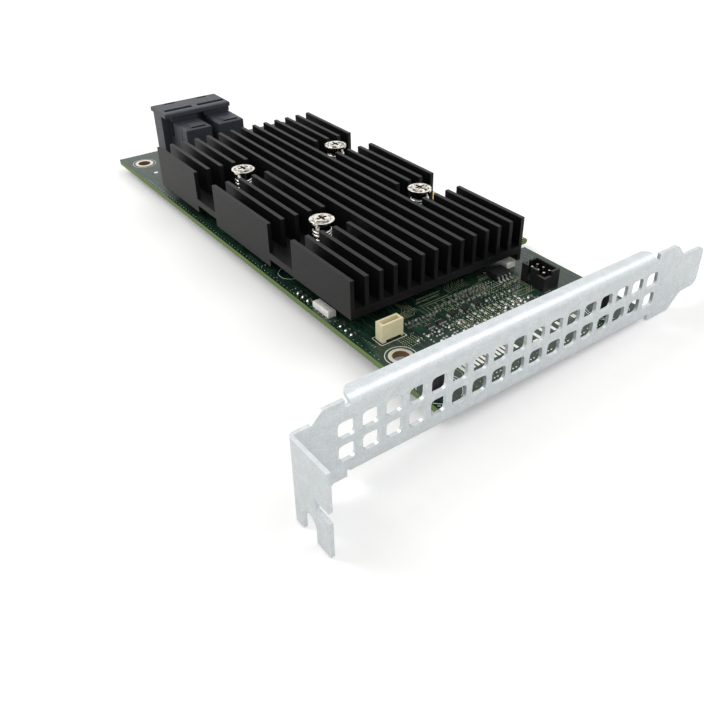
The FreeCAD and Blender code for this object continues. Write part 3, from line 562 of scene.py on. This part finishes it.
class CardColours(bpy.types.PropertyGroup):
    mask: colour_setting("Solder mask", "Green of the bare board", (0.010, 0.028, 0.018))
    mask_over_copper: colour_setting("Mask over copper", "Green over the copper", (0.019, 0.058, 0.033))
    laminate: colour_setting("Laminate", "Yellow green of the board's cut edges", (0.15, 0.225, 0.065))
    hole_wall: colour_setting("Hole walls", "Brown of the plated hole walls", (0.2, 0.12, 0.05))
    # Painted sheen: the traces' colour is far lighter than the mask over copper because it stands in for
    # the light that they catch.
    trace: colour_setting("Traces", "Mask-covered traces as they catch the light", (0.3, 0.33, 0.21))
    covered_dot: colour_setting("Covered dots", "Olive of the dots under the mask", (0.36, 0.385, 0.25))
    print_white: colour_setting("White print", "White outlines printed on the board", (0.75, 0.77, 0.72))
    zinc: colour_setting("Zinc", "Zinc plating of the bracket", (0.73, 0.765, 0.785))
    anodising: colour_setting("Anodising", "Black of the heatsink", (0.004, 0.004, 0.0045))
    slate: colour_setting("Slate plastic", "Cable connector's housing", (0.037, 0.043, 0.054))
    cream: colour_setting("Cream plastic", "Low header's housing", (0.9, 0.81, 0.52))
    gilt: colour_setting("Gilt", "Gold plating of contacts and pins", (0.87, 0.64, 0.26))


class CardSizes(bpy.types.PropertyGroup):
    copper_height: length_setting("Copper height", "How far traces stand above the board", 0.03 * MM)
    trace_width: length_setting("Trace width", "Width of the fine traces", 0.13 * MM)
    dot_share: FloatProperty(name="Dot share", description="Share of covered dot places that hold one",
                             default=0.88, min=0, max=1, subtype="FACTOR")
    print_width: length_setting("Print width", "Width of the printed outlines", 0.17 * MM)
    print_height: length_setting("Print height", "Thickness of the print", 0.02 * MM)
    wire_radius: length_setting("Spring wire radius", "Radius of the coil springs' wire", 0.3 * MM)
    spring_turns: IntProperty(name="Spring turns", description="Turns of each coil spring", min=3,
                              default=5)
    closed_pitch: length_setting("Closed pitch", "Rise of a coil spring's first and last turn", 0.62 * MM)
    seed: IntProperty(name="Seed", description="Seed of the small uneven spacings", default=11)


class StudioSettings(bpy.types.PropertyGroup):
    camera_place: place_setting("Camera", "Where the camera stands", (-0.088178, -0.109807, 0.101012))
    camera_heading: FloatVectorProperty(name="Heading", description="Direction in which the camera looks",
                                        subtype="DIRECTION", size=3,
                                        default=(0.501773, 0.648177, -0.572792))
    camera_roll: FloatProperty(name="Roll", description="Turn of the camera about its own line of sight",
                               subtype="ANGLE", default=math.radians(0.357))
    lens: FloatProperty(name="Lens", description="Focal length on a 36 mm wide sensor, in millimetres",
                        default=40.08, min=1)
    shift: FloatVectorProperty(name="Shift", description="Share of the frame by which the lens is shifted",
                               size=2, default=(-0.0534, -0.0081))
    surround: FloatProperty(name="Surround", description="Strength of the even light from all round",
                            default=0.69, min=0)
    key_power: FloatProperty(name="Key power", description="Watts of the lamp behind the card's left",
                             default=5.6, min=0)
    key_place: place_setting("Key lamp", "Where the lamp behind the card's left stands", (-0.5, 0.85, 0.9))
    key_width: length_setting("Key width", "Width of the key lamp's disc", 0.7)
    fill_share: FloatProperty(name="Fill share", description="The fill lamp's power over the key lamp's",
                              default=0.6, min=0)
    fill_place: place_setting("Fill lamp", "Where the lamp over the card's right stands", (0.6, -0.45, 1.0))
    fill_width: length_setting("Fill width", "Width of the fill lamp's disc", 1.1)
    floor_colour: colour_setting("Floor", "Colour of the floor", (0.93, 0.927, 0.91))
    floor_lift: FloatProperty(name="Floor lift", description="Light added to the floor for the camera",
                              default=0.16, min=0)


# Operators, one for each piece or group of like pieces.

class CARD_OT_stage(bpy.types.Operator):
    """Set up the plain floor, the white surround, the soft lamps and the camera"""
    bl_idname = "card.stage"
    bl_label = "Stage"

    def execute(self, context):
        studio = context.scene.card_studio
        self.make_floor(context, studio)
        self.make_surround(context, studio)
        self.make_lamps(context, studio)
        self.make_camera(context, studio)
        context.scene.view_settings.view_transform = "Standard"
        return {"FINISHED"}

    def make_floor(self, context, studio):
        """A floor just below the card, tilted to its tab, its plate's edge and its board's far end."""
        clearance = 0.05 * MM
        half_width, steps = 3.0, 8
        foot = BRACKET_LOW
        far = Vector((MAIN_RIGHT, BOARD_HIGH.y, UNDER))
        normal = (LOWER_EDGE_END - foot).cross(far - foot).normalized()
        across = Vector((1, 0, 0)) - normal * normal.x
        along = normal.cross(across)
        lowest = min((v.co - foot).dot(normal) for node in NODES.values() for v in node.data.vertices)
        centre = (foot + LOWER_EDGE_END + far) / 3 + normal * (lowest - clearance)
        offsets = [half_width * (2 * i / steps - 1) for i in range(steps + 1)]
        builder = bmesh.new()
        grid = [[builder.verts.new(centre + across * x + along * y) for x in offsets] for y in offsets]
        for j in range(steps):
            for i in range(steps):
                builder.faces.new((grid[j][i], grid[j][i + 1], grid[j + 1][i + 1], grid[j + 1][i]))
        mesh = bpy.data.meshes.new("floor")
        builder.to_mesh(mesh)
        builder.free()
        floor = bpy.data.objects.new("floor", mesh)
        context.scene.collection.objects.link(floor)
        material, shader = start_material("pale floor", studio.floor_colour, roughness=0.9, specular=0.0)
        seen = add_node(material, "ShaderNodeLightPath").outputs["Is Camera Ray"]
        lift = calculate(material, "MULTIPLY", seen, studio.floor_lift)
        shader.inputs["Emission Color"].default_value = WHITE
        link(material, lift, shader, "Emission Strength")
        mesh.materials.append(material)

    def make_surround(self, context, studio):
        """A world that lights evenly, and is pure white to the camera, to gloss and through glass."""
        world = bpy.data.worlds.new("white surround")
        context.scene.world = world
        world.use_nodes = True
        nodes, links = world.node_tree.nodes, world.node_tree.links
        nodes.clear()
        output = nodes.new("ShaderNodeOutputWorld")
        mixer = nodes.new("ShaderNodeMixShader")
        path = nodes.new("ShaderNodeLightPath")
        light, seen = nodes.new("ShaderNodeBackground"), nodes.new("ShaderNodeBackground")
        light.inputs["Strength"].default_value = studio.surround
        seen.inputs["Strength"].default_value = 1.0
        for node in (light, seen):
            node.inputs["Color"].default_value = WHITE
        first, second = nodes.new("ShaderNodeMath"), nodes.new("ShaderNodeMath")
        for node in (first, second):
            node.operation = "MAXIMUM"
        links.new(path.outputs["Is Camera Ray"], first.inputs[0])
        links.new(path.outputs["Is Glossy Ray"], first.inputs[1])
        links.new(first.outputs[0], second.inputs[0])
        links.new(path.outputs["Is Transmission Ray"], second.inputs[1])
        links.new(second.outputs[0], mixer.inputs[0])
        links.new(light.outputs[0], mixer.inputs[1])
        links.new(seen.outputs[0], mixer.inputs[2])
        links.new(mixer.outputs[0], output.inputs["Surface"])

    def make_lamps(self, context, studio):
        """A key lamp behind the card's left and a wide fill lamp over its right."""
        middle = (LOADED_BOX[0] + LOADED_BOX[1]) / 2
        for name, place, width, power in (
            ("key lamp", studio.key_place, studio.key_width, studio.key_power),
            ("fill lamp", studio.fill_place, studio.fill_width, studio.key_power * studio.fill_share),
        ):
            data = bpy.data.lights.new(name, "AREA")
            data.shape = "DISK"
            data.size = width
            data.energy = power
            lamp = bpy.data.objects.new(name, data)
            lamp.location = place
            lamp.rotation_euler = (middle - Vector(place)).to_track_quat("-Z", "Y").to_euler()
            context.scene.collection.objects.link(lamp)

    def make_camera(self, context, studio):
        sensor_width = 36.0
        nearest, farthest = 0.01, 20.0
        data = bpy.data.cameras.new("camera")
        camera = bpy.data.objects.new("camera", data)
        context.scene.collection.objects.link(camera)
        level = Vector(studio.camera_heading).to_track_quat("-Z", "Y").to_matrix()
        turned = level @ Matrix.Rotation(studio.camera_roll, 3, "Z")
        camera.matrix_world = Matrix.Translation(studio.camera_place) @ turned.to_4x4()
        data.sensor_width = sensor_width
        data.lens = studio.lens
        data.shift_x, data.shift_y = studio.shift
        data.clip_start, data.clip_end = nearest, farthest
        context.scene.camera = camera


class CARD_OT_board(bpy.types.Operator):
    """Finish the circuit board, its edge contacts and the plating of its mounting holes"""
    bl_idname = "card.board"
    bl_label = "Circuit board"

    def execute(self, context):
        colours = context.scene.card_colours
        dress("circuit_board", solder_mask(colours))
        dress("edge_contacts", bright_metal("gilt contacts", colours.gilt, roughness=0.24))
        dress("mounting_hole_plating", bright_metal("tinned rings", (0.86, 0.82, 0.74), roughness=0.35))
        return {"FINISHED"}


class CARD_OT_bracket(bpy.types.Operator):
    """Finish the slot bracket, the posts behind it and their screws"""
    bl_idname = "card.bracket"
    bl_label = "Slot bracket"

    def execute(self, context):
        colours = context.scene.card_colours
        dress("bracket", zinc_plate(colours))
        dress("mounting_posts", moulded_plastic("black posts", (0.004, 0.004, 0.0045), roughness=0.5))
        dress("post_screws", bright_metal("black screws", (0.06, 0.06, 0.06), roughness=0.35))
        return {"FINISHED"}


class CARD_OT_heatsink(bpy.types.Operator):
    """Finish the heatsink, the chip below it and the thermal pad between them"""
    bl_idname = "card.heatsink"
    bl_label = "Heatsink"

    def execute(self, context):
        colours = context.scene.card_colours
        dress("heatsink", black_anodising(colours))
        dress("controller_chip", moulded_plastic("chip resin", (0.02, 0.02, 0.021), roughness=0.5))
        dress("thermal_pad", moulded_plastic("soft pad", (0.35, 0.37, 0.42), roughness=0.8))
        return {"FINISHED"}


class CARD_OT_screws(bpy.types.Operator):
    """Finish the bright screws and nuts and wind the smooth coil springs round the screws"""
    bl_idname = "card.screws"
    bl_label = "Spring screws"

    def execute(self, context):
        sizes = context.scene.card_sizes
        dress("spring_screws", screw_nickel())
        dress("screw_nuts", bright_metal("nut nickel", NICKEL, roughness=0.2))
        builder = bmesh.new()
        for low, high in islands("screw_springs"):
            self.wind(builder, (low + high) / 2, high.x - low.x, high.z, sizes)
        coils = make_piece("coil_springs", builder, bright_metal("spring steel", NICKEL, roughness=0.2),
                           smooth=True)
        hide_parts("screw_springs")
        return {"FINISHED"}

    def wind(self, builder, middle, width, high, sizes):
        """One round wire swept along a helix that stands on the heatsink, closed at both ends."""
        steps_a_turn, sides = 28, 8
        up = Vector((0, 0, 1))
        reach = width / 2
        low = max(v.co.z for v in NODES["heatsink"].data.vertices if (v.co - middle).xy.length < reach)
        wire = sizes.wire_radius
        open_turns = sizes.spring_turns - 2
        open_rise = high - low - 2 * wire - 2 * sizes.closed_pitch
        rings = []
        for i in range(steps_a_turn * sizes.spring_turns + 1):
            turns = i / steps_a_turn
            middle_turns = min(max(turns - 1, 0), open_turns)
            height = (turns - middle_turns) * sizes.closed_pitch + open_rise * middle_turns / open_turns
            outward = Vector((math.cos(2 * math.pi * turns), math.sin(2 * math.pi * turns), 0))
            centre = Vector((middle.x, middle.y, low + wire + height)) + outward * (reach - wire)
            rings.append([
                builder.verts.new(centre + outward * (wire * math.cos(a)) + up * (wire * math.sin(a)))
                for a in (2 * math.pi * k / sides for k in range(sides))
            ])
        for first, second in zip(rings, rings[1:]):
            for k in range(sides):
                n = (k + 1) % sides
                builder.faces.new((first[k], first[n], second[n], second[k]))
        builder.faces.new(rings[0])
        builder.faces.new(rings[-1][::-1])


class CARD_OT_connectors(bpy.types.Operator):
    """Finish the connectors and the white edge parts, and wall in the cable ports"""
    bl_idname = "card.connectors"
    bl_label = "Connectors"

    def execute(self, context):
        colours = context.scene.card_colours
        gilt = bright_metal("gilt pins", colours.gilt, roughness=0.22)
        white = moulded_plastic("white plastic", (0.82, 0.81, 0.76), roughness=0.5)
        ivory = moulded_plastic("ivory plastic", (0.96, 0.94, 0.84), roughness=0.4)
        slate = moulded_plastic("slate plastic", colours.slate, roughness=0.48)
        cream = moulded_plastic("cream plastic", colours.cream, roughness=0.5, spread=0.05)
        black = moulded_plastic("black plastic", (0.006, 0.006, 0.007), roughness=0.42)
        dress("cable_connector", slate)
        make_piece("port_shrouds", self.port_shrouds(), slate)
        dress("cable_connector_contacts", gilt)
        dress("cream_header", cream)
        dress("cream_header_pins", bright_metal("tinned pins", (0.8, 0.79, 0.76), roughness=0.28))
        dress("box_header", black)
        dress("box_header_pins", bright_metal("pale gilt pins", (0.82, 0.76, 0.64), roughness=0.2))
        dress("white_edge_connector", white)
        dress("white_right_part", ivory)
        return {"FINISHED"}

    def port_shrouds(self):
        """Walls round the contacts of each port, and the stepped tongue of the latch before them."""
        wall, side_room, back_room, depth = (size * MM for size in (0.5, 1.0, 0.55, 2.45))
        floor, ceiling = 12.4 * MM, 14.5 * MM
        latch_reach, latch_shift = 9.4 * MM, 0.5 * MM
        # The half width, length and height of each step of the tongue.
        tongue_steps = ((2.7 * MM, 4.05 * MM, 0.22 * MM), (2.3 * MM, 3.45 * MM, 0.4 * MM))
        builder = bmesh.new()
        blades = sorted(islands("cable_connector_contacts"), key=lambda box: box[0].x)
        for port in (blades[:len(blades) // 2], blades[len(blades) // 2:]):
            low_x, high_x = port[0][0].x - side_room, port[-1][1].x + side_room
            back = port[0][1].y + back_room
            front = back - depth
            add_block(builder, (low_x - wall, front - wall, floor), (high_x + wall, front, ceiling))
            for x in (low_x - wall, high_x):
                add_block(builder, (x, front, floor), (x + wall, back, ceiling))
            tip = front - latch_reach
            middle = (low_x + high_x) / 2 + latch_shift
            for half_width, length, rise in tongue_steps:
                add_block(builder, (middle - half_width, tip, floor),
                          (middle + half_width, tip + length, floor + rise))
        return builder


class CARD_OT_chips(bpy.types.Operator):
    """Finish the small chips and give the small parts their tinned ends and solder"""
    bl_idname = "card.chips"
    bl_label = "Chips and small parts"

    def execute(self, context):
        tin = bright_metal("tinned ends", (0.68, 0.67, 0.63), roughness=0.5)
        resin = moulded_plastic("eight lead resin", (0.018, 0.017, 0.018), roughness=0.42)
        sharp, softer = 0.05 * MM, 0.08 * MM
        tan = moulded_plastic("ceramic tan", (0.1, 0.078, 0.055), roughness=0.45, edge_radius=sharp)
        black = moulded_plastic("ceramic black", (0.02, 0.02, 0.022), roughness=0.35, edge_radius=sharp)
        brown = moulded_plastic("brown black", (0.022, 0.015, 0.016), roughness=0.4, edge_radius=softer)
        dress("eight_lead_chip", resin)
        dress("eight_lead_chip_leads", tin)
        dress("chip_capacitors", tan)
        dress("chip_resistors", black)
        dress("resistor_networks", brown)
        dress("small_inductors", brown)
        make_piece("ceramic_part_ends", self.ends(), tin)
        solder = bright_metal("solder", (0.74, 0.74, 0.71), roughness=0.45)
        make_piece("solder_joints", self.joints(), solder)
        return {"FINISHED"}

    def ends(self):
        """Metal caps that stand a little proud of both ends of each ceramic part."""
        proud, end_share = 0.015 * MM, 0.2
        builder = bmesh.new()
        for node in ("chip_capacitors", "chip_resistors"):
            for low, high in islands(node):
                end = end_share * (high.x - low.x)
                for x0, x1 in ((low.x - proud, low.x + end), (high.x - end, high.x + proud)):
                    add_block(builder, (x0, low.y - proud, low.z), (x1, high.y + proud, high.z + proud))
        return builder

    def joints(self):
        """The solder at the ends of the small parts and below the chip's leads."""
        reach = 0.3 * MM
        pad_low, pad_high = Vector((-0.3, -0.45, 0)) * MM, Vector((0.3, 0.45, 0.03)) * MM
        builder = bmesh.new()
        for node in ("chip_capacitors", "chip_resistors", "small_inductors"):
            for low, high in islands(node):
                self.solder(builder, low, high, reach)
        for low, high in islands("resistor_networks"):
            self.comb(builder, low, high)
        for low, high in islands("eight_lead_chip_leads"):
            foot_y = low.y if low.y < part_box("eight_lead_chip")[0].y else high.y
            middle = Vector(((low.x + high.x) / 2, foot_y, TOP))
            add_block(builder, middle + pad_low, middle + pad_high)
        return builder

    def solder(self, builder, low, high, reach):
        """A sloped fillet of solder beyond each end of a small part."""
        climb_share = 0.6
        lip, climb = 0.04 * MM, climb_share * (high.z - TOP)
        for x, out in ((low.x, -1), (high.x, 1)):
            rows = []
            for dx, z in ((0, TOP), (reach, TOP), (reach, TOP + lip), (0, TOP + climb)):
                rows.append([builder.verts.new((x + out * dx, y, z)) for y in (low.y, high.y)])
            for a, b in zip(rows, rows[1:] + rows[:1]):
                builder.faces.new((a[0], a[1], b[1], b[0]))
            for side in (0, 1):
                builder.faces.new([row[side] for row in rows])

    def comb(self, builder, low, high):
        """Four soldered pads on each long side of a network."""
        count, half_share, height = 4, 0.28, 0.2 * MM
        outward, inward = 0.4 * MM, 0.05 * MM
        pitch = (high.x - low.x) / count
        half = pitch * half_share
        for k in range(count):
            x = low.x + (k + 0.5) * pitch
            for y0, y1 in ((low.y - outward, low.y + inward), (high.y - inward, high.y + outward)):
                add_block(builder, (x - half, y0, TOP), (x + half, y1, TOP + height))


class CARD_OT_board_copper(bpy.types.Operator):
    """Lay the bare pads, the plated dots and the covered traces on the board"""
    bl_idname = "card.board_copper"
    bl_label = "Pads, dots and traces"

    def execute(self, context):
        sizes = context.scene.card_sizes
        colours = context.scene.card_colours
        chance = random.Random(sizes.seed)
        tinned = bright_metal("tinned copper", (0.84, 0.84, 0.78), roughness=0.3)
        olive = board_print("covered dots", colours.covered_dot, roughness=0.35)
        # The covered copper's colour carries the traces' painted sheen.
        copper = board_print("covered copper", colours.trace, roughness=0.35)
        make_piece("bare_pads", self.pads(sizes), tinned)
        make_piece("solder_dots", self.dots(sizes), tinned)
        make_piece("covered_dots", self.covered_dots(sizes, chance), olive)
        make_piece("board_traces", self.traces(sizes, chance), copper)
        return {"FINISHED"}

    def pads(self, sizes):
        """Bare rectangles of copper."""
        builder = bmesh.new()
        for x, y, (width, length) in lay_out(PAD_GROUPS):
            half = Vector((width, length, 0)) * MM / 2
            rise = Vector((0, 0, sizes.copper_height))
            add_block(builder, on_board(x, y) - half, on_board(x, y) + half + rise)
        return builder

    def dots(self, sizes):
        """Bare dots, twice as high as the copper because they hold solder."""
        builder = bmesh.new()
        for x, y, (radius,) in lay_out(DOT_GROUPS):
            add_disc(builder, on_board(x, y), radius * MM, sizes.copper_height * 2, sides=12)
        return builder

    def covered_dots(self, sizes, chance):
        """Dots under the mask on both faces of the board, a little off their grid, with some left out."""
        # How far a dot may lie off its grid, in millimetres.
        stray = 0.06
        height = sizes.copper_height
        builder = bmesh.new()
        for x, y, (radius,) in lay_out(COVERED_DOT_GROUPS):
            if chance.random() < sizes.dot_share:
                place = on_board(x + chance.uniform(-stray, stray), y + chance.uniform(-stray, stray))
                add_disc(builder, place, radius * MM, height)
                add_disc(builder, place + Vector((0, 0, UNDER - TOP - height)), radius * MM, height)
        return builder

    def traces(self, sizes, chance):
        """Ribbons along the runs, each starting a little past the run's own start."""
        # The most that a trace's start may be moved, in millimetres.
        stagger = 0.5
        builder = bmesh.new()
        for x, y, moves, step_x, step_y, count in TRACE_RUNS:
            for i in range(count):
                points = [on_board(x + i * step_x, y + i * step_y + chance.uniform(0.0, stagger))]
                for dx, dy in moves:
                    points.append(points[-1] + Vector((dx, dy, 0)) * MM)
                add_ribbon(builder, points, sizes.trace_width, sizes.copper_height)
        return builder


class CARD_OT_board_print(bpy.types.Operator):
    """Print the plain white outlines round the holes, the posts and the cream header"""
    bl_idname = "card.board_print"
    bl_label = "Printed outlines"

    def execute(self, context):
        sizes = context.scene.card_sizes
        colours = context.scene.card_colours
        hole_circle, post_circles, left_circle = 3.55 * MM, (4.9 * MM, 5.6 * MM), 3.3 * MM
        left_circle_place = on_board(0.3, 46.4)
        reach = 0.6 * MM
        builder = bmesh.new()
        width = sizes.print_width
        height = sizes.print_height
        for place in HOLE_PLACES:
            add_ring(builder, Vector((place.x, place.y, TOP)), hole_circle, hole_circle + width, height)
        for low, high in islands("mounting_posts"):
            middle = Vector(((low.x + high.x) / 2, (low.y + high.y) / 2, TOP))
            for radius in post_circles:
                add_circle_on_board(builder, middle, radius, width, height)
        add_ring(builder, left_circle_place, left_circle, left_circle + width, height)
        low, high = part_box("cream_header")
        corners = [Vector((x, y, TOP)) for x, y in (
            (low.x - reach, low.y - reach), (high.x + reach, low.y - reach),
            (high.x + reach, high.y + reach), (low.x - reach, high.y + reach))]
        for a, b in zip(corners, corners[1:] + corners[:1]):
            add_ribbon(builder, [a, b], width, height)
        white = board_print("white print", colours.print_white, roughness=0.6)
        make_piece("printed_outlines", builder, white)
        return {"FINISHED"}


class CARD_PT_panel(bpy.types.Panel):
    """Lists the card's dressing steps and their settings"""
    bl_idname = "CARD_PT_panel"
    bl_label = "Card"
    bl_space_type = "VIEW_3D"
    bl_region_type = "UI"
    bl_category = "Card"

    def draw(self, context):
        for operator in OPERATORS:
            self.layout.operator(operator.bl_idname)
        for group in (context.scene.card_sizes, context.scene.card_colours, context.scene.card_studio):
            box = self.layout.box()
            for name in group.__annotations__:
                box.prop(group, name)


OPERATORS = (
    CARD_OT_board, CARD_OT_bracket, CARD_OT_heatsink, CARD_OT_screws, CARD_OT_connectors,
    CARD_OT_chips, CARD_OT_board_copper, CARD_OT_board_print, CARD_OT_stage,
)
GROUPS = {"card_sizes": CardSizes, "card_colours": CardColours, "card_studio": StudioSettings}


def register():
    for group in GROUPS.values():
        bpy.utils.register_class(group)
    for operator in OPERATORS:
        bpy.utils.register_class(operator)
    bpy.utils.register_class(CARD_PT_panel)
    for name, group in GROUPS.items():
        setattr(bpy.types.Scene, name, PointerProperty(type=group))


def unregister():
    for name in GROUPS:
        delattr(bpy.types.Scene, name)
    bpy.utils.unregister_class(CARD_PT_panel)
    for operator in reversed(OPERATORS):
        bpy.utils.unregister_class(operator)
    for group in reversed(list(GROUPS.values())):
        bpy.utils.unregister_class(group)


def main():
    register()
    for operator in OPERATORS:
        group, name = operator.bl_idname.split(".")
        getattr(getattr(bpy.ops, group), name)()


if __name__ == "__main__":
    main()
